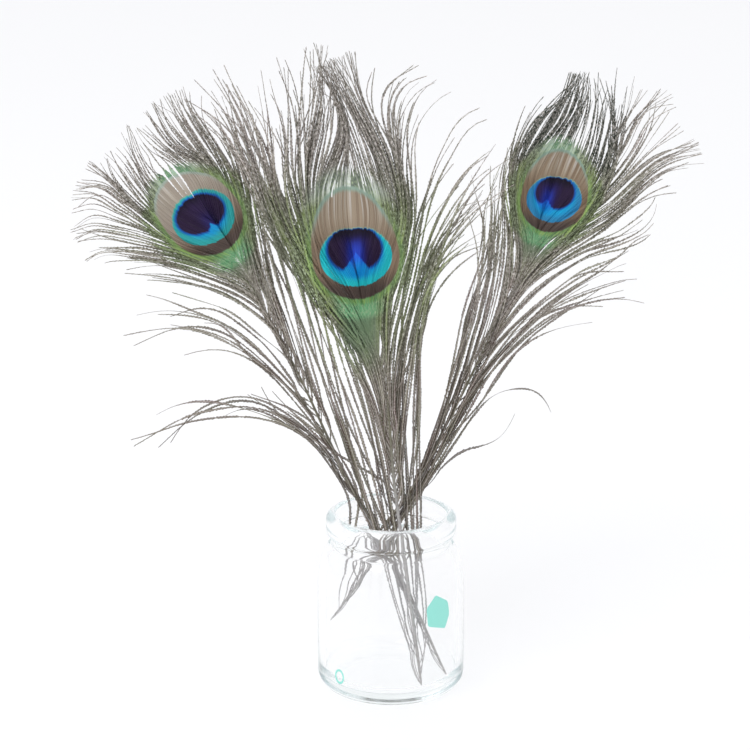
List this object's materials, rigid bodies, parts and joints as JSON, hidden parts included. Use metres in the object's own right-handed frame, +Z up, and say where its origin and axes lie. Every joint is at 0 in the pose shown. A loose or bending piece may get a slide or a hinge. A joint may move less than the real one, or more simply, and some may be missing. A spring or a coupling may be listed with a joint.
{
  "type": "peacock feathers in a glass jar",
  "caption": "Peacock eye feathers with long loose barbs round blue and bronze eyes, standing fanned out in a small clear glass jar with a rolled rim.",
  "frame": {"origin": "middle of the jar's flat base, on the surface that it stands on", "axes": "+Z up; -Y is the front, the side that the eyes of the feathers face; +X is to the viewer's right"},
  "size_m": [0.2688, 0.0661, 0.29],
  "materials": {
    "clear_glass": "clear polished soda-lime glass with a thick rolled rim",
    "feather": "olive and grey-brown barbs with a silky sheen, a bronze and turquoise eye and a dark violet heart"
  },
  "bodies": {
    "root": {"glass_jar": "clear_glass", "left_feather": "feather", "middle_feather": "feather", "right_feather": "feather"}
  },
  "joints": []
}
